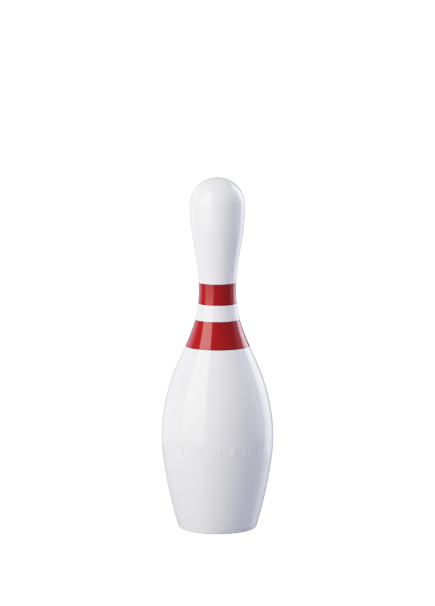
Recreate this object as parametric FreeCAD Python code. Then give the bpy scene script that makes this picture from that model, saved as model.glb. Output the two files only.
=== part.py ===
import FreeCAD, Part

import math
import os

# A tenpin bowling pin. Maple boards are glued to a billet and turned to shape, a plastic jacket is
# moulded over the wood, two red stripes are let into the jacket round the neck, and a nylon ring is
# glued round the foot. Millimetres, +Z up the pin's axis, origin at the centre of the foot on the floor.

# Outer shape: (height above the floor, diameter of the pin there)
GAUGE_DIAMETERS = (
    (0.0, 84.8),  # foot, before its edge is rounded
    (24.0, 98.1),
    (60.0, 113.3),
    (97.0, 121.5),  # belly
    (135.0, 114.8),
    (170.0, 95.0),
    (198.0, 70.7),  # shoulder
    (226.0, 49.7),
    (260.0, 40.8),  # neck
    (292.0, 46.3),
    (325.0, 56.8),
)
PIN_HEIGHT = 381.0
HEAD_RADIUS = 30.0
FOOT_FLARE_DEG = 16.5  # lean of the side from the vertical where it meets the floor
FOOT_EDGE_RADIUS = 3.0

# Jacket and the stripes let into it
JACKET_THICKNESS = 2.5
STRIPE_DEPTH = 0.3
LOWER_STRIPE = (198.8, 227.9)  # heights of its bottom and top edges
UPPER_STRIPE = (244.9, 267.7)

# Foot: the nylon ring shows below the jacket, and its collar is held under the jacket
RING_SEAM_HEIGHT = 3.2
RING_COLLAR_HEIGHT = 8.0
RING_BORE_RADIUS = 24.0
WOOD_RECESS = 1.0  # the wood inside the ring stops short of the floor

# Wood: every board is dressed to one thickness, and the first three layers make a square core
BOARD_THICKNESS = 20.0
CORE_HALF_WIDTH = 1.5 * BOARD_THICKNESS
BILLET_HALF_WIDTH = CORE_HALF_WIDTH + 2.0 * BOARD_THICKNESS
HEART_HALF_WIDTH = 0.5 * BOARD_THICKNESS  # the stick on the axis, with a strip glued in front and behind

# Blind hole up the axis, where the lathe's spindle held the billet
SPINDLE_HOLE_RADIUS = 8.0
SPINDLE_HOLE_TOP = 50.0
DRILL_POINT_DEG = 118.0

HEAD_CENTRE_HEIGHT = PIN_HEIGHT - HEAD_RADIUS
AXIS_START = FreeCAD.Vector(0.0, 0.0, 0.0)
UP = FreeCAD.Vector(0.0, 0.0, 1.0)


def on_section(radius, height):
    """A point on the half section, which is drawn in the XZ plane and turned about Z."""
    return FreeCAD.Vector(radius, 0.0, height)


def smooth_side(points):
    """The side as one curve, from the foot's flare to the head's widest ring, where it is upright."""
    flare = math.radians(FOOT_FLARE_DEG)
    side = Part.BSplineCurve()
    side.interpolate(
        Points=points,
        InitialTangent=on_section(math.sin(flare), math.cos(flare)),
        FinalTangent=UP,
    )
    return side


def side_curve(depth):
    """The side's curve, at a depth below the pin's surface measured square to it."""
    points = [on_section(diameter / 2.0, height) for height, diameter in GAUGE_DIAMETERS]
    points.append(on_section(HEAD_RADIUS, HEAD_CENTRE_HEIGHT))
    surface = smooth_side(points)
    if depth == 0.0:
        return surface
    inner_points = []
    for place in points:
        along = surface.tangent(surface.parameter(place))[0]
        inward = on_section(-along.z, along.x)
        inner_points.append(place + inward * depth)
    return smooth_side(inner_points)


def turned_solid(depth):
    """Everything deeper than the given depth below the pin's surface, as a solid of revolution."""
    side = side_curve(depth)
    foot = side.value(side.FirstParameter)
    radius = HEAD_RADIUS - depth
    crown = on_section(0.0, HEAD_CENTRE_HEIGHT + radius)
    half_way = on_section(radius * math.sqrt(0.5), HEAD_CENTRE_HEIGHT + radius * math.sqrt(0.5))
    head = Part.Arc(on_section(radius, HEAD_CENTRE_HEIGHT), half_way, crown)
    foot_centre = on_section(0.0, foot.z)
    edges = [
        Part.LineSegment(foot_centre, foot).toShape(),
        side.toShape(),
        head.toShape(),
        Part.LineSegment(crown, foot_centre).toShape(),
    ]
    section = Part.Face(Part.Wire(edges))
    return section.revolve(AXIS_START, UP, 360.0)


def cylinder(radius, bottom, top):
    return Part.makeCylinder(radius, top - bottom, on_section(0.0, bottom))


def layer(bottom, top):
    """A flat slice of space, wider than the pin, between two heights."""
    return cylinder(BILLET_HALF_WIDTH * 2.0, bottom, top)


def stripe(heights):
    """A thin red band whose face is flush with the jacket."""
    bottom, top = heights
    return turned_solid(0.0).cut(turned_solid(STRIPE_DEPTH)).common(layer(bottom, top))


def jacket(stripes):
    skin = turned_solid(0.0).cut(turned_solid(JACKET_THICKNESS))
    skin = skin.common(layer(RING_SEAM_HEIGHT, PIN_HEIGHT + 1.0))
    for band in stripes:
        skin = skin.cut(band)
    return skin


def base_ring():
    """The nylon foot: a flange with a rounded edge, and a collar that goes up inside the jacket."""
    flange = turned_solid(0.0).common(layer(0.0, RING_SEAM_HEIGHT))
    floor_edge = [edge for edge in flange.Edges if edge.Closed and edge.BoundBox.ZMax < 0.001]
    flange = flange.makeFillet(FOOT_EDGE_RADIUS, floor_edge)
    collar = turned_solid(JACKET_THICKNESS).common(layer(RING_SEAM_HEIGHT, RING_COLLAR_HEIGHT))
    ring = flange.fuse(collar).removeSplitter()
    return ring.cut(cylinder(RING_BORE_RADIUS, -1.0, RING_COLLAR_HEIGHT + 1.0))


def spindle_hole():
    point_depth = SPINDLE_HOLE_RADIUS / math.tan(math.radians(DRILL_POINT_DEG / 2.0))
    straight = cylinder(SPINDLE_HOLE_RADIUS, 0.0, SPINDLE_HOLE_TOP)
    point = Part.makeCone(SPINDLE_HOLE_RADIUS, 0.0, point_depth, on_section(0.0, SPINDLE_HOLE_TOP))
    return straight.fuse(point)


def turned_wood():
    """The whole wooden body: the turned billet, with a tenon at the foot for the nylon ring."""
    body = turned_solid(JACKET_THICKNESS).common(layer(RING_COLLAR_HEIGHT, PIN_HEIGHT))
    tenon = cylinder(RING_BORE_RADIUS, WOOD_RECESS, RING_COLLAR_HEIGHT)
    return body.fuse(tenon).removeSplitter().cut(spindle_hole())


def board(x_range, y_range):
    """A board of the billet, as long as the pin, between two X and two Y limits."""
    length_x = x_range[1] - x_range[0]
    length_y = y_range[1] - y_range[0]
    corner = FreeCAD.Vector(x_range[0], y_range[0], 0.0)
    return Part.makeBox(length_x, length_y, PIN_HEIGHT, corner)


def billet():
    """Every board of the glued billet by name: the core, then the belly boards built up round it."""
    heart = (-HEART_HALF_WIDTH, HEART_HALF_WIDTH)
    core_width = (-CORE_HALF_WIDTH, CORE_HALF_WIDTH)
    belly_width = (-BILLET_HALF_WIDTH, BILLET_HALF_WIDTH)
    boards = {
        "core_heart_stick": board(heart, heart),
        "core_strip_front": board(heart, (-CORE_HALF_WIDTH, -HEART_HALF_WIDTH)),
        "core_strip_back": board(heart, (HEART_HALF_WIDTH, CORE_HALF_WIDTH)),
        "core_board_left": board((-CORE_HALF_WIDTH, -HEART_HALF_WIDTH), core_width),
        "core_board_right": board((HEART_HALF_WIDTH, CORE_HALF_WIDTH), core_width),
    }
    for index, name in enumerate(("inner", "outer")):
        near = CORE_HALF_WIDTH + index * BOARD_THICKNESS
        far = near + BOARD_THICKNESS
        boards["belly_board_left_" + name] = board((-far, -near), core_width)
        boards["belly_board_right_" + name] = board((near, far), core_width)
        boards["belly_board_front_" + name] = board(belly_width, (-far, -near))
        boards["belly_board_back_" + name] = board(belly_width, (near, far))
    return boards


def build_pin():
    pieces = {
        "upper_neck_stripe": stripe(UPPER_STRIPE),
        "lower_neck_stripe": stripe(LOWER_STRIPE),
        "base_ring": base_ring(),
    }
    pieces["jacket"] = jacket([pieces["upper_neck_stripe"], pieces["lower_neck_stripe"]])
    wood = turned_wood()
    for name, blank in billet().items():
        pieces[name] = wood.common(blank)
    return pieces


os.makedirs("parts", exist_ok=True)
for node, shape in build_pin().items():
    shape.exportStep("parts/" + node + ".step")
    solids = len(shape.Solids)
    print(f"{node}: {solids} solid, {shape.Volume / 1000.0:.2f} cm3, valid {shape.isValid()}")
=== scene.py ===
import math

import bmesh
import bpy
import numpy as np
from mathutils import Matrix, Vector


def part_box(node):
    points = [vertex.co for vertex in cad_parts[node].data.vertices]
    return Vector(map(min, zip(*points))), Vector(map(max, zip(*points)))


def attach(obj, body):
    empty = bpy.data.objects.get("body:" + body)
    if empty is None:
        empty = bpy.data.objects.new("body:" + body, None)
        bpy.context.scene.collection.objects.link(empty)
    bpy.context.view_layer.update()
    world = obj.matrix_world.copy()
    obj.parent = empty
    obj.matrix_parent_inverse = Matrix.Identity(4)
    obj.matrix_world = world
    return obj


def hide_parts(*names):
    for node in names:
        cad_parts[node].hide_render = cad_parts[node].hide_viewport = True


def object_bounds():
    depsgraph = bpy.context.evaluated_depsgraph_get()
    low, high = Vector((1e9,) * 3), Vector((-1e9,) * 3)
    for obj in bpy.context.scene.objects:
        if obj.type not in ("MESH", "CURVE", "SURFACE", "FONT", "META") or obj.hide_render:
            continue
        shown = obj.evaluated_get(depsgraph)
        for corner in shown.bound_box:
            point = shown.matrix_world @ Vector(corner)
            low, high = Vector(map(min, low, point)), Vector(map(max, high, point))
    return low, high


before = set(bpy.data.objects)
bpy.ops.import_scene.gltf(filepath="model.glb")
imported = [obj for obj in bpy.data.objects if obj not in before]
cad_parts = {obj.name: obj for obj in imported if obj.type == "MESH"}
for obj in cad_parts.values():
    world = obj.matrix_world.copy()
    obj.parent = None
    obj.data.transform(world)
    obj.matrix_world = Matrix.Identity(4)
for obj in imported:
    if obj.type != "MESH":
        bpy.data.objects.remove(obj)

# The looks of a tenpin bowling pin: a white moulded jacket and two red neck stripes under one clear
# gloss coat, a nylon foot ring, and glued maple boards inside. Metres, +Z up, front towards -Y.

MM = 0.001

# ---------------------------------------------------------------------------------------------
# Dimensions
# ---------------------------------------------------------------------------------------------

cad_low, cad_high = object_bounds()
jacket_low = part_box("jacket")[0]
upper_low, upper_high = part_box("upper_neck_stripe")
lower_low, lower_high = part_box("lower_neck_stripe")
ring_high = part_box("base_ring")[1]

# The side of the pin: height above the floor and diameter, both in millimetres
GAUGE_DIAMETERS = (
    (0.0, 84.8),
    (24.0, 98.1),
    (60.0, 113.3),
    (97.0, 121.5),
    (135.0, 114.8),
    (170.0, 95.0),
    (198.0, 70.7),
    (226.0, 49.7),
    (260.0, 40.8),
    (292.0, 46.3),
    (325.0, 56.8),
)
HEAD_RADIUS = 30.0 * MM
FOOT_FLARE = math.radians(16.5)
FOOT_EDGE_RADIUS = 3.0 * MM
JACKET_THICKNESS = 2.5 * MM
STRIPE_DEPTH = 0.3 * MM
RING_BORE_RADIUS = 24.0 * MM

PIN_HEIGHT = cad_high.z
BELLY_RADIUS = min(cad_high.x, -cad_low.x, cad_high.y, -cad_low.y)
SEAM_HEIGHT = jacket_low.z
COLLAR_HEIGHT = ring_high.z
HEAD_CENTRE_HEIGHT = PIN_HEIGHT - HEAD_RADIUS

EDGE_ROUNDING = 0.12 * MM  # small radius where two pieces meet at the surface
RING_ROUNDING = 3.0 * EDGE_ROUNDING
STRIPE_END_GAP = 0.03 * MM  # from a stripe's edge to the wall of its recess
STRIPE_BACK_GAP = 0.02 * MM  # from a stripe's back to the floor of its recess
SEAM_GAP = 0.02 * MM  # from the seam's height to the jacket above it, and to the ring below it
COLLAR_GAP = 0.05 * MM  # from the ring's collar to the inside of the jacket

TURN_STEPS = 256  # facets round the pin
SIDE_STEP = 1.6 * MM  # facets up the pin
INSIDE_STEP = 3.0 * SIDE_STEP  # facets up the inside of the jacket
SPAN_STEPS = 24  # points on the side's curve from one gauge height to the next
CORNER_STEPS = 4
CORNER_SHARE = 0.49  # the most of a line that the rounding of one of its ends may use up
FOOT_EDGE_STEPS = 12
AXIS_TOLERANCE = 1e-7


# ---------------------------------------------------------------------------------------------
# The pin's outline
# ---------------------------------------------------------------------------------------------

def spline_slopes(points, lengths, first, last):
    """Slopes at the points of the curve that passes through them with unbroken curvature."""
    count = len(points)
    matrix = np.eye(count)
    target = np.zeros((count, 2))
    target[0], target[-1] = first, last
    for i in range(1, count - 1):
        before, after = lengths[i - 1], lengths[i]
        matrix[i, i - 1] = after
        matrix[i, i] = 2.0 * (before + after)
        matrix[i, i + 1] = before
        rise_before = (points[i] - points[i - 1]) / before
        rise_after = (points[i + 1] - points[i]) / after
        target[i] = 3.0 * (after * rise_before + before * rise_after)
    return np.linalg.solve(matrix, target)


def smooth_side():
    """The side as (radius, height) points, from the floor to the widest ring of the head."""
    gauges = [(diameter / 2.0 * MM, height * MM) for height, diameter in GAUGE_DIAMETERS]
    points = np.array(gauges + [(HEAD_RADIUS, HEAD_CENTRE_HEIGHT)])
    lengths = np.linalg.norm(np.diff(points, axis=0), axis=1)
    first = (math.sin(FOOT_FLARE), math.cos(FOOT_FLARE))
    slopes = spline_slopes(points, lengths, first, (0.0, 1.0))
    side = [points[0]]
    for i, length in enumerate(lengths):
        for step in range(1, SPAN_STEPS + 1):
            t = step / SPAN_STEPS
            side.append(
                (2 * t**3 - 3 * t**2 + 1) * points[i]
                + (t**3 - 2 * t**2 + t) * length * slopes[i]
                + (3 * t**2 - 2 * t**3) * points[i + 1]
                + (t**3 - t**2) * length * slopes[i + 1]
            )
    side = np.array(side)
    side[:, 0] *= BELLY_RADIUS / side[:, 0].max()  # no wider than the CAD solid
    return side


SIDE_RADII, SIDE_HEIGHTS = smooth_side().T


def radius_at(height):
    """The pin's radius at a height."""
    if height <= HEAD_CENTRE_HEIGHT:
        return float(np.interp(height, SIDE_HEIGHTS, SIDE_RADII))
    above = height - HEAD_CENTRE_HEIGHT
    return math.sqrt(max(HEAD_RADIUS**2 - above**2, 0.0))


def surface_point(height, depth=0.0):
    """The point of the outline at a height, moved in by a depth square to the surface."""
    reach = 0.4 * MM
    rise = radius_at(height + reach) - radius_at(height - reach)
    lean = math.atan2(rise, 2.0 * reach)
    radius = radius_at(height)
    return (radius - depth * math.cos(lean), height + depth * math.sin(lean))


def side_run(bottom, top, depth=0.0, step=SIDE_STEP):
    """Points up the side between two heights below the head."""
    count = max(2, math.ceil((top - bottom) / step) + 1)
    return [surface_point(height, depth) for height in np.linspace(bottom, top, count)]


def head_run(depth=0.0, step=SIDE_STEP):
    """Points over the head, from just above its widest ring to the crown on the axis."""
    radius = HEAD_RADIUS - depth
    count = math.ceil(radius * math.pi / 2.0 / step)
    run = []
    for i in range(1, count):
        angle = math.pi / 2.0 * i / count
        run.append((radius * math.cos(angle), HEAD_CENTRE_HEIGHT + radius * math.sin(angle)))
    run.append((0.0, HEAD_CENTRE_HEIGHT + radius))
    return run


def sharp(points):
    """Points of an outline as corners that aren't rounded."""
    return [(x, y, False) for x, y in points]


def rounded(corners, radius):
    """A closed outline with its marked corners rounded. A corner is (x, y, is_round)."""
    path = []
    for i, (x, y, is_round) in enumerate(corners):
        if not is_round:
            path.append((x, y))
            continue
        here = Vector((x, y))
        before = Vector(corners[i - 1][:2]) - here
        after = Vector(corners[(i + 1) % len(corners)][:2]) - here
        half = before.angle(after) / 2.0
        room = min(before.length, after.length) * CORNER_SHARE
        back = min(radius / math.tan(half), room)
        start = here + before.normalized() * back
        end = here + after.normalized() * back
        for step in range(CORNER_STEPS + 1):
            t = step / CORNER_STEPS
            place = start * (1 - t) ** 2 + here * 2 * t * (1 - t) + end * t**2
            path.append((place.x, place.y))
    return path


# ---------------------------------------------------------------------------------------------
# Meshes
# ---------------------------------------------------------------------------------------------

def turned_piece(name, outline):
    """A closed outline turned about the Z axis. A point on the axis becomes one vertex."""
    work = bmesh.new()
    rings = []
    for radius, height in outline:
        if radius < AXIS_TOLERANCE:
            rings.append([work.verts.new((0.0, 0.0, height))])
            continue
        ring = []
        for step in range(TURN_STEPS):
            angle = 2.0 * math.pi * step / TURN_STEPS
            ring.append(work.verts.new((radius * math.cos(angle), radius * math.sin(angle), height)))
        rings.append(ring)
    for i, ring in enumerate(rings):
        following = rings[(i + 1) % len(rings)]
        if len(ring) == 1 and len(following) == 1:
            continue
        for step in range(TURN_STEPS):
            turned = (step + 1) % TURN_STEPS
            if len(ring) == 1:
                corners = (ring[0], following[turned], following[step])
            elif len(following) == 1:
                corners = (ring[step], ring[turned], following[0])
            else:
                corners = (ring[step], ring[turned], following[turned], following[step])
            work.faces.new(corners)
    bmesh.ops.recalc_face_normals(work, faces=work.faces)
    for face in work.faces:
        face.smooth = True
    mesh = bpy.data.meshes.new(name)
    work.to_mesh(mesh)
    work.free()
    piece = bpy.data.objects.new(name, mesh)
    bpy.context.collection.objects.link(piece)
    return piece


def jacket_outline():
    """The moulded shell: outside with a recess for each stripe, over the crown, and back inside."""
    corners = [(*surface_point(SEAM_HEIGHT + SEAM_GAP), True)]
    bottom = SEAM_HEIGHT
    for low, high in ((lower_low.z, lower_high.z), (upper_low.z, upper_high.z)):
        corners += sharp(side_run(bottom, low)[1:-1])
        corners.append((*surface_point(low), True))
        corners += sharp(side_run(low, high, STRIPE_DEPTH))
        corners.append((*surface_point(high), True))
        bottom = high
    corners += sharp(side_run(bottom, HEAD_CENTRE_HEIGHT)[1:])
    corners += sharp(head_run())
    corners += sharp(head_run(JACKET_THICKNESS, INSIDE_STEP)[::-1])
    inside = side_run(SEAM_HEIGHT, HEAD_CENTRE_HEIGHT, JACKET_THICKNESS, INSIDE_STEP)
    corners += sharp(inside[::-1])
    return rounded(corners, EDGE_ROUNDING)


def stripe_outline(low, high):
    """A thin band with softly rounded edges, flush with the jacket and clear of its recess."""
    bottom, top = low + STRIPE_END_GAP, high - STRIPE_END_GAP
    outside = side_run(bottom, top)
    inside = side_run(bottom, top, STRIPE_DEPTH - STRIPE_BACK_GAP)
    corners = [(*outside[0], True)] + sharp(outside[1:-1]) + [(*outside[-1], True)]
    return rounded(corners + sharp(inside[::-1]), EDGE_ROUNDING)


def base_ring_outline():
    """Flange under the jacket with a rounded floor edge, and the collar held inside the jacket."""
    turn = math.pi / 2.0 - FOOT_FLARE
    flat_radius = radius_at(0.0) - FOOT_EDGE_RADIUS * math.tan(turn / 2.0)
    floor_edge = []
    for step in range(FOOT_EDGE_STEPS + 1):
        angle = turn * step / FOOT_EDGE_STEPS - math.pi / 2.0
        out = FOOT_EDGE_RADIUS * math.cos(angle)
        up = FOOT_EDGE_RADIUS * (1.0 + math.sin(angle))
        floor_edge.append((flat_radius + out, up))
    flange_top = SEAM_HEIGHT - SEAM_GAP
    collar = [
        (surface_point(SEAM_HEIGHT, JACKET_THICKNESS)[0] - COLLAR_GAP, flange_top),
        (surface_point(COLLAR_HEIGHT, JACKET_THICKNESS)[0] - COLLAR_GAP, COLLAR_HEIGHT),
        (RING_BORE_RADIUS, COLLAR_HEIGHT),
    ]
    corners = sharp(floor_edge) + [(*surface_point(flange_top), True)]
    corners += sharp(collar) + [(RING_BORE_RADIUS, 0.0, True)]
    return rounded(corners, RING_ROUNDING)


# ---------------------------------------------------------------------------------------------
# Materials
# ---------------------------------------------------------------------------------------------

# A pair of tones is the two ends of a surface's uneven colour. All are linear colours.
WHITE_TONES = ((0.805, 0.803, 0.800, 1.0), (0.832, 0.832, 0.835, 1.0))
HANDLED_GREY = (0.60, 0.60, 0.59, 1.0)
# Darker end: scuffed wear. Lighter end, whiter than the jacket: painted glints of light caught by the
# scratches.
SCUFF_AND_GLINT_TONES = ((0.70, 0.70, 0.70, 1.0), (0.94, 0.94, 0.93, 1.0))
RED_TONES = ((0.350, 0.0025, 0.004, 1.0), (0.378, 0.004, 0.006, 1.0))
RED_GRAIN = (0.30, 0.002, 0.005, 1.0)
# Painted shade: the dark red along the stripes' edges stands in for shade at the groove between stripe
# and jacket.
RED_EDGE_SHADE = (0.10, 0.001, 0.002, 1.0)
NYLON_TONES = ((0.86, 0.86, 0.85, 1.0), (0.79, 0.785, 0.77, 1.0))
NYLON_DIRT = (0.42, 0.40, 0.37, 1.0)
MAPLE_EARLY_WOOD = (0.66, 0.47, 0.29)
MAPLE_LATE_WOOD = (0.52, 0.34, 0.19)
MAPLE_PALE = (0.74, 0.57, 0.38, 1.0)
MAPLE_PORE = (0.33, 0.20, 0.10, 1.0)

# How much of a mark's colour shows
HANDLING_SHARE = 0.16
BALL_MARK_SHARE = 0.55
EDGE_SHADE_SHARE = 0.6
RED_GRAIN_SHARE = 0.15
NYLON_DIRT_SHARE = 0.3
MAPLE_PALE_SHARE = 0.4
MAPLE_PORE_SHARE = 0.5

# Heights of the surfaces' relief
RIPPLE_RELIEF = 0.025 * MM
FINE_RIPPLE_RELIEF = 0.004 * MM
HANDLING_RELIEF = 0.012 * MM
BALL_MARK_RELIEF = 0.06 * MM
NYLON_GRAIN_RELIEF = 0.02 * MM
NYLON_DIRT_RELIEF = 0.05 * MM
PORE_RELIEF = 0.05 * MM

COAT_ROUGHNESS = 0.02
COAT_IOR = 1.5
PLASTIC_SPECULAR_LEVEL = 0.1  # the coat makes the gloss, so little is left for the plastic under it

# Painted shade: the width of the darker line along each edge of a stripe.
EDGE_SHADE_WIDTH = 1.1 * MM  # darker line along each edge of a stripe
BALL_MARK_HEIGHT = 92.0 * MM  # middle of the belt that balls scuff
BALL_MARK_REACH = 16.0 * MM
BALL_MARK_END = 1.65 * BALL_MARK_REACH  # the marks fade out from the reach to here

# Scales that draw out a noise's features one way
ROUND_THE_PIN = (1.0, 1.0, 5.0)
UP_THE_PIN = (1.0, 1.0, 0.16)
ALONG_THE_BOARD = (1.0, 1.0, 0.06)


class Shader:
    """A node material under construction, with short calls for the nodes it uses."""

    def __init__(self, name):
        self.material = bpy.data.materials.new(name)
        self.material.use_nodes = True
        self.tree = self.material.node_tree
        self.surface = self.tree.nodes["Principled BSDF"]
        self.place = self.tree.nodes.new("ShaderNodeTexCoord").outputs["Object"]

    def link(self, source, target):
        self.tree.links.new(source, target)

    def drive(self, socket, source):
        """Link a source to a socket of the surface."""
        self.link(source, self.surface.inputs[socket])

    def feed(self, node, socket, setting):
        """Give a node's socket a link, if the setting is another node's output, or a plain value."""
        if isinstance(setting, bpy.types.NodeSocket):
            self.link(setting, node.inputs[socket])
        else:
            node.inputs[socket].default_value = setting

    def stretched(self, scale, offset=(0.0, 0.0, 0.0)):
        """The place vector, scaled along each axis and then moved."""
        node = self.tree.nodes.new("ShaderNodeMapping")
        self.link(self.place, node.inputs["Vector"])
        node.inputs["Location"].default_value = offset
        node.inputs["Scale"].default_value = scale
        return node.outputs["Vector"]

    def noise(self, scale, detail=3.0, roughness=0.5, place=None):
        """Noise with as many features to the metre as its scale says."""
        node = self.tree.nodes.new("ShaderNodeTexNoise")
        self.link(place or self.place, node.inputs["Vector"])
        node.inputs["Scale"].default_value = scale
        node.inputs["Detail"].default_value = detail
        node.inputs["Roughness"].default_value = roughness
        return node.outputs["Fac"]

    def remap(self, source, from_low, from_high, to_low=0.0, to_high=1.0):
        """A value carried from one range to another, and held at the ends of the new one."""
        node = self.tree.nodes.new("ShaderNodeMapRange")
        self.link(source, node.inputs["Value"])
        node.inputs["From Min"].default_value = from_low
        node.inputs["From Max"].default_value = from_high
        node.inputs["To Min"].default_value = to_low
        node.inputs["To Max"].default_value = to_high
        return node.outputs["Result"]

    def math(self, operation, first, second=0.0):
        node = self.tree.nodes.new("ShaderNodeMath")
        node.operation = operation
        self.feed(node, 0, first)
        self.feed(node, 1, second)
        return node.outputs["Value"]

    def mix(self, factor, first, second):
        """The first colour where the factor is 0, and the second where it is 1."""
        node = self.tree.nodes.new("ShaderNodeMix")
        node.data_type = "RGBA"
        self.feed(node, "Factor", factor)
        self.feed(node, "A", first)
        self.feed(node, "B", second)
        return node.outputs["Result"]

    def bump(self, height, distance, under=None):
        """Relief on the surface, or on top of other relief."""
        node = self.tree.nodes.new("ShaderNodeBump")
        self.link(height, node.inputs["Height"])
        node.inputs["Distance"].default_value = distance
        node.inputs["Strength"].default_value = 1.0
        if under is not None:
            self.link(under, node.inputs["Normal"])
        return node.outputs["Normal"]

    def height(self):
        """The height above the floor."""
        node = self.tree.nodes.new("ShaderNodeSeparateXYZ")
        self.link(self.place, node.inputs["Vector"])
        return node.outputs["Z"]

    def clear_coat(self, normal):
        """The clear top coat that covers the jacket and the stripes alike."""
        self.surface.inputs["Specular IOR Level"].default_value = PLASTIC_SPECULAR_LEVEL
        self.surface.inputs["Coat Weight"].default_value = 1.0
        self.surface.inputs["Coat Roughness"].default_value = COAT_ROUGHNESS
        self.surface.inputs["Coat IOR"].default_value = COAT_IOR
        self.drive("Coat Normal", normal)


def orange_peel(shader):
    """The slight ripple of a flowed-on coat, a few millimetres from crest to crest."""
    broad = shader.noise(120.0, detail=1.0)
    fine = shader.noise(420.0, detail=2.0)
    ripple = shader.bump(broad, RIPPLE_RELIEF)
    return shader.bump(fine, FINE_RIPPLE_RELIEF, under=ripple)


def handling_marks(shader):
    """Faint scuffs, longer round the pin than up it, as a 0 to 1 mask."""
    streaks = shader.noise(60.0, detail=6.0, roughness=0.7, place=shader.stretched(ROUND_THE_PIN))
    return shader.remap(streaks, 0.56, 0.75)


def ball_marks(shader):
    """The belt round the belly where balls strike, as a 0 to 1 mask, and its fine upright scuffs,
    which the jacket also uses to paint glints of light.
    """
    above_belt = shader.math("SUBTRACT", shader.height(), BALL_MARK_HEIGHT)
    off_belt = shader.math("ABSOLUTE", above_belt)
    wander = shader.math("MULTIPLY", shader.noise(24.0), 2.0 * BALL_MARK_REACH)
    spread = shader.math("ADD", off_belt, wander)
    belt = shader.remap(spread, BALL_MARK_END, BALL_MARK_REACH)
    scratches_and_glints = shader.noise(330.0, detail=4.0, roughness=0.65, place=shader.stretched(UP_THE_PIN))
    return belt, shader.remap(scratches_and_glints, 0.40, 0.60)


def white_jacket_material():
    shader = Shader("white_jacket")
    tone = shader.remap(shader.noise(16.0, detail=4.0), 0.35, 0.65)
    marks = handling_marks(shader)
    belt, scratches_and_glints = ball_marks(shader)
    body = shader.mix(tone, *WHITE_TONES)
    body = shader.mix(shader.math("MULTIPLY", marks, HANDLING_SHARE), body, HANDLED_GREY)
    # Ball scuffs: darker real wear, and lighter streaks that are painted glints of light on the
    # scratches.
    scuffed_and_glinting = shader.mix(scratches_and_glints, *SCUFF_AND_GLINT_TONES)
    body = shader.mix(shader.math("MULTIPLY", belt, BALL_MARK_SHARE), body, scuffed_and_glinting)
    shader.drive("Base Color", body)
    shader.drive("Roughness", shader.remap(marks, 0.0, 1.0, 0.22, 0.36))
    ripple = orange_peel(shader)
    shader.drive("Normal", ripple)
    worn = shader.bump(marks, HANDLING_RELIEF, under=ripple)
    worn = shader.bump(shader.math("MULTIPLY", belt, scratches_and_glints), BALL_MARK_RELIEF, under=worn)
    shader.clear_coat(worn)
    return shader.material


def red_stripe_material(name, low, high):
    """Red with a thin line of painted shade along the edges of the stripe, which are at these two
    heights, standing in for shade at the groove to the jacket.
    """
    shader = Shader(name)
    tone = shader.remap(shader.noise(40.0, detail=4.0), 0.35, 0.65)
    grain = shader.remap(shader.noise(900.0, detail=2.0), 0.4, 0.8, 0.0, RED_GRAIN_SHARE)
    body = shader.mix(grain, shader.mix(tone, *RED_TONES), RED_GRAIN)
    height = shader.height()
    above_low = shader.math("SUBTRACT", height, low)
    below_high = shader.math("SUBTRACT", high, height)
    inside = shader.math("MINIMUM", above_low, below_high)
    # Painted shade darkens the red near both edges, as if the groove to the jacket shaded them.
    edge_shade = shader.remap(inside, 0.5 * EDGE_SHADE_WIDTH, EDGE_SHADE_WIDTH, EDGE_SHADE_SHARE, 0.0)
    shader.drive("Base Color", shader.mix(edge_shade, body, RED_EDGE_SHADE))
    shader.drive("Roughness", shader.remap(shader.noise(150.0), 0.3, 0.7, 0.22, 0.32))
    ripple = orange_peel(shader)
    shader.drive("Normal", ripple)
    shader.clear_coat(ripple)
    return shader.material


def base_nylon_material():
    shader = Shader("base_nylon")
    tone = shader.remap(shader.noise(45.0, detail=5.0), 0.35, 0.7)
    dirt = shader.noise(90.0, detail=6.0, roughness=0.7)
    soiled = shader.remap(dirt, 0.55, 0.8, 0.0, NYLON_DIRT_SHARE)
    shader.drive("Base Color", shader.mix(soiled, shader.mix(tone, *NYLON_TONES), NYLON_DIRT))
    shader.drive("Roughness", shader.remap(shader.noise(300.0, detail=4.0), 0.3, 0.7, 0.34, 0.52))
    grain = shader.bump(shader.noise(1500.0), NYLON_GRAIN_RELIEF)
    shader.drive("Normal", shader.bump(dirt, NYLON_DIRT_RELIEF, under=grain))
    return shader.material


def tinted(colour, tint):
    return tuple(channel * share for channel, share in zip(colour, tint)) + (1.0,)


def maple_material(name, pith, tint):
    """Hard maple: growth rings about a far-off pith, with fine pores drawn out along the board."""
    shader = Shader(name)
    grain_place = shader.stretched(ALONG_THE_BOARD, offset=(*pith, 0.0))
    rings = shader.tree.nodes.new("ShaderNodeTexWave")
    rings.wave_type = "RINGS"
    rings.rings_direction = "Z"
    rings.wave_profile = "SAW"
    shader.link(grain_place, rings.inputs["Vector"])
    rings.inputs["Scale"].default_value = 70.0
    rings.inputs["Distortion"].default_value = 3.0
    rings.inputs["Detail"].default_value = 3.0
    rings.inputs["Detail Scale"].default_value = 0.3
    late_wood = shader.remap(rings.outputs["Fac"], 0.55, 1.0)
    body = shader.mix(late_wood, tinted(MAPLE_EARLY_WOOD, tint), tinted(MAPLE_LATE_WOOD, tint))
    pale = shader.remap(shader.noise(14.0, place=grain_place), 0.35, 0.65, 0.0, MAPLE_PALE_SHARE)
    body = shader.mix(pale, body, MAPLE_PALE)
    pores = shader.noise(1100.0, detail=2.0, place=grain_place)
    body = shader.mix(shader.remap(pores, 0.6, 0.75, 0.0, MAPLE_PORE_SHARE), body, MAPLE_PORE)
    shader.drive("Base Color", body)
    shader.drive("Roughness", shader.remap(pores, 0.3, 0.7, 0.5, 0.68))
    shader.drive("Normal", shader.bump(pores, PORE_RELIEF))
    return shader.material


# ---------------------------------------------------------------------------------------------
# Pieces
# ---------------------------------------------------------------------------------------------

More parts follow.
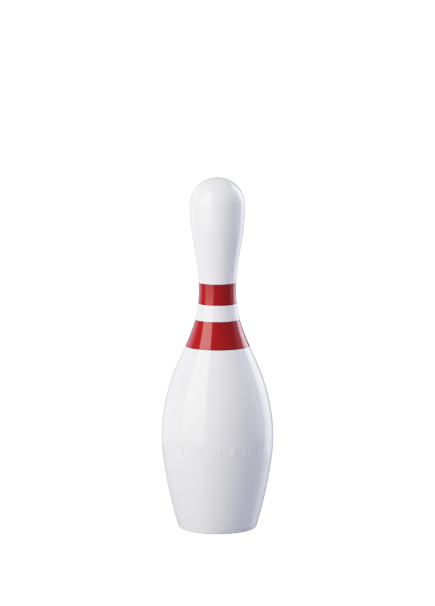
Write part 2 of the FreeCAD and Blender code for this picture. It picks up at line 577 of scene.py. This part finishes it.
WOOD_WORDS = ("core_", "belly_")
PITH_DISTANCE = 0.10  # from the pin's axis to the first board's pith
PITH_DISTANCE_STEP = 0.012  # further for each board after it
PITH_TURN = 2.4  # radians round the axis from one board's pith to the next one's
DARKEST_SHADE = 0.92
SHADE_STEP = 0.016
SHADES = 11
SHADE_STRIDE = 7  # shades from one board to the next
GREEN_SHARES = (0.98, 1.01, 1.04)
BLUE_SHARES = (0.95, 1.0)


def place_piece(name, outline, material, node):
    piece = turned_piece(name, outline)
    piece.data.materials.append(material)
    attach(piece, "root")
    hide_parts(node)


def place_plastics():
    """The jacket, the stripes and the foot ring, each in the place of its plain CAD node."""
    white = white_jacket_material()
    upper_red = red_stripe_material("red_upper_stripe", upper_low.z, upper_high.z)
    lower_red = red_stripe_material("red_lower_stripe", lower_low.z, lower_high.z)
    nylon = base_nylon_material()
    upper_outline = stripe_outline(upper_low.z, upper_high.z)
    lower_outline = stripe_outline(lower_low.z, lower_high.z)
    place_piece("jacket_shell", jacket_outline(), white, "jacket")
    place_piece("upper_stripe_band", upper_outline, upper_red, "upper_neck_stripe")
    place_piece("lower_stripe_band", lower_outline, lower_red, "lower_neck_stripe")
    place_piece("nylon_foot_ring", base_ring_outline(), nylon, "base_ring")


def finish_boards():
    """Maple on every board. Each comes from its own place in the log, so its rings and tint differ."""
    names = sorted(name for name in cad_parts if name.startswith(WOOD_WORDS))
    for index, name in enumerate(names):
        angle = PITH_TURN * index
        distance = PITH_DISTANCE + PITH_DISTANCE_STEP * index
        pith = (distance * math.cos(angle), distance * math.sin(angle))
        shade = DARKEST_SHADE + SHADE_STEP * (index * SHADE_STRIDE % SHADES)
        green = GREEN_SHARES[index % len(GREEN_SHARES)]
        blue = BLUE_SHARES[index % len(BLUE_SHARES)]
        tint = (shade, shade * green, shade * blue)
        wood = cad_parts[name]
        wood.data.materials.clear()
        wood.data.materials.append(maple_material("maple_" + name, pith, tint))


# ---------------------------------------------------------------------------------------------
# Studio
# ---------------------------------------------------------------------------------------------

CAMERA_DISTANCE = 3.5
CAMERA_HEIGHT = 0.7545
CAMERA_AIM_HEIGHT = 0.245
CAMERA_LENS = 195.7

TONE_KNEE = 0.5  # light level where the toe ends and the shoulder begins
TOE_POWER = 1.28
TONE_WHITE = 2.0  # light level that comes out as pure white
TONE_LEVELS = (0.02, 0.05, 0.1, 0.2, 0.35, 0.5, 0.65, 0.8, 1.0, 1.2, 1.5)

FLOOR_RADIUS = 6.0
FLOOR_OUTER_RADIUS = 9.0
FLOOR_RIM_HEIGHT = 6.0
FLOOR_LEVEL = -0.5 * MM
FLOOR_GLOW = (TONE_WHITE, TONE_WHITE, TONE_WHITE)
TABLE_INNER_RADIUS = 0.1
TABLE_RADIUS = 0.34
TABLE_LEVEL = -1.0 * MM
TABLE_GLOW = (0.082, 0.102, 0.139)
STAGE_STEPS = 96  # facets round the floor and the table
STAGE_ROWS = 12  # facets from their inner ring to their edge
STAGE_IOR = 1.6
STUDIO_AIR = (0.449, 0.465, 0.553)


def add_camera():
    data = bpy.data.cameras.new("camera")
    data.lens = CAMERA_LENS
    data.sensor_width = 36.0
    data.clip_start = 0.1
    data.clip_end = 60.0
    camera = bpy.data.objects.new("camera", data)
    camera.location = (0.0, -CAMERA_DISTANCE, CAMERA_HEIGHT)
    aim = Vector((0.0, 0.0, CAMERA_AIM_HEIGHT)) - camera.location
    camera.rotation_mode = "QUATERNION"
    camera.rotation_quaternion = aim.to_track_quat("-Z", "Y")
    bpy.context.collection.objects.link(camera)
    bpy.context.scene.camera = camera


def fade_panel(data, share_left, span):
    """Dim a panel towards its bottom edge, to the share left there, over a span of its height."""
    data.use_nodes = True
    tree = data.node_tree
    across = tree.nodes.new("ShaderNodeSeparateXYZ")
    place = tree.nodes.new("ShaderNodeNewGeometry").outputs["Parametric"]
    tree.links.new(place, across.inputs["Vector"])
    ramp = tree.nodes.new("ShaderNodeMapRange")
    ramp.interpolation_type = "SMOOTHSTEP"
    tree.links.new(across.outputs["Y"], ramp.inputs["Value"])
    ramp.inputs["From Max"].default_value = span
    ramp.inputs["To Min"].default_value = share_left
    tree.links.new(ramp.outputs["Result"], tree.nodes["Emission"].inputs["Strength"])


def add_panel(name, place, facing, width, height, glow, fade=None):
    """A soft panel light that the camera doesn't see. Its glow is red, green and blue radiance, and
    a fade is the share left and the span that fade_panel takes."""
    data = bpy.data.lights.new(name, "AREA")
    data.shape = "RECTANGLE"
    data.size = width
    data.size_y = height
    data.energy = math.pi * width * height * max(glow)
    data.color = [channel / max(glow) for channel in glow]
    if fade is not None:
        fade_panel(data, *fade)
    lamp = bpy.data.objects.new(name, data)
    lamp.location = place
    lamp.rotation_mode = "QUATERNION"
    lamp.rotation_quaternion = facing.to_track_quat("-Z", "Y")
    lamp.visible_camera = False
    bpy.context.collection.objects.link(lamp)


def side_panel(name, azimuth, distance, width, heights, glow, lean=0.0, fade=None):
    """A panel that stands round the pin. Its azimuth runs from the camera's side to the right, and
    a lean takes its top away from the pin, both in degrees. Heights are of its bottom and top."""
    angle, tilt = math.radians(azimuth), math.radians(lean)
    outward = Vector((math.sin(angle), -math.cos(angle), 0.0))
    facing = Vector((0.0, 0.0, math.sin(tilt))) - outward * math.cos(tilt)
    place = outward * distance + Vector((0.0, 0.0, sum(heights) / 2.0))
    add_panel(name, place, facing, width, heights[1] - heights[0], glow, fade)


def overhead_panel(name, place, size, glow):
    """A square panel above the pin, facing its head."""
    facing = Vector((0.0, 0.0, HEAD_CENTRE_HEIGHT)) - Vector(place)
    add_panel(name, place, facing, size, size, glow)


def add_lights():
    side_panel(
        "key_panel", azimuth=-50.5, distance=1.5, width=1.27, heights=(-0.105, 2.4),
        glow=(4.69, 4.44, 4.16), lean=14.0, fade=(0.35, 0.35),
    )
    side_panel(
        "right_panel", azimuth=97.0, distance=1.5, width=0.75, heights=(-0.15, 1.9),
        glow=(0.64, 0.51, 0.6),
    )
    side_panel(
        "edge_panel", azimuth=127.5, distance=1.5, width=0.82, heights=(-0.33, 1.75),
        glow=(3.49, 3.52, 3.94), fade=(0.4, 0.55),
    )
    side_panel(
        "rear_left_panel", azimuth=-131.0, distance=2.2, width=1.7, heights=(-0.4, 1.9),
        glow=(0.61, 0.71, 0.86),
    )
    overhead_panel("top_panel", place=(0.62, 0.0, 1.8), size=1.1, glow=(0.32, 0.48, 0.36))


def stage_white(name, white, roughness, glow):
    material = bpy.data.materials.new(name)
    material.use_nodes = True
    surface = material.node_tree.nodes["Principled BSDF"]
    surface.inputs["Base Color"].default_value = (white, white, white, 1.0)
    surface.inputs["Roughness"].default_value = roughness
    surface.inputs["IOR"].default_value = STAGE_IOR
    surface.inputs["Emission Color"].default_value = (*glow, 1.0)
    surface.inputs["Emission Strength"].default_value = 1.0
    return material


def stage_disc(name, inner, outer, level, lift, material):
    """A round floor, flat out to its inner ring, with a rim beyond it that curves up by the lift.
    With no lift it is a flat disc."""
    work = bmesh.new()
    centre = work.verts.new((0.0, 0.0, level))
    previous = None
    for row in range(STAGE_ROWS + 1):
        share = row / STAGE_ROWS
        angle = share * math.pi / 2.0
        out = math.sin(angle) if lift else share
        radius = inner + (outer - inner) * out
        height = level + lift * (1.0 - math.cos(angle))
        ring = []
        for step in range(STAGE_STEPS):
            turn = 2.0 * math.pi * step / STAGE_STEPS
            ring.append(work.verts.new((radius * math.cos(turn), radius * math.sin(turn), height)))
        for step in range(STAGE_STEPS):
            turned = (step + 1) % STAGE_STEPS
            if previous is None:
                work.faces.new((centre, ring[step], ring[turned]))
            else:
                work.faces.new((previous[step], ring[step], ring[turned], previous[turned]))
        previous = ring
    mesh = bpy.data.meshes.new(name)
    work.to_mesh(mesh)
    work.free()
    disc = bpy.data.objects.new(name, mesh)
    disc.data.materials.append(material)
    bpy.context.collection.objects.link(disc)
    return disc


def add_stage():
    """A pale floor that curves up all round, and the small polished table that the pin reflects."""
    floor_white = stage_white("floor_white", white=0.9, roughness=0.9, glow=FLOOR_GLOW)
    floor = stage_disc(
        "floor", FLOOR_RADIUS, FLOOR_OUTER_RADIUS, FLOOR_LEVEL, FLOOR_RIM_HEIGHT, floor_white
    )
    floor.visible_diffuse = False
    floor.visible_glossy = False
    floor.visible_shadow = False
    table_white = stage_white("table_white", white=0.35, roughness=0.15, glow=TABLE_GLOW)
    table = stage_disc("table_top", TABLE_INNER_RADIUS, TABLE_RADIUS, TABLE_LEVEL, 0.0, table_white)
    table.visible_camera = False
    table.visible_shadow = False


def add_world():
    world = bpy.data.worlds.new("studio_air")
    world.use_nodes = True
    background = world.node_tree.nodes["Background"]
    background.inputs["Color"].default_value = (*STUDIO_AIR, 1.0)
    background.inputs["Strength"].default_value = 1.0
    bpy.context.scene.world = world


def film_response(level):
    """Scene light to picture light: a soft toe, and a shoulder that keeps whites from clipping."""
    if level < TONE_KNEE:
        return TONE_KNEE * (level / TONE_KNEE) ** TOE_POWER
    room = 1.0 - TONE_KNEE
    full = 1.0 - math.exp((TONE_KNEE - TONE_WHITE) / room)
    return TONE_KNEE + room * (1.0 - math.exp((TONE_KNEE - level) / room)) / full


def set_tone():
    view = bpy.context.scene.view_settings
    view.view_transform = "Standard"
    view.use_curve_mapping = True
    mapping = view.curve_mapping
    mapping.white_level = (TONE_WHITE, TONE_WHITE, TONE_WHITE)
    combined = mapping.curves[3]
    for level in TONE_LEVELS:
        combined.points.new(level / TONE_WHITE, film_response(level))
    mapping.update()


place_plastics()
finish_boards()
add_camera()
add_stage()
add_world()
add_lights()
set_tone()
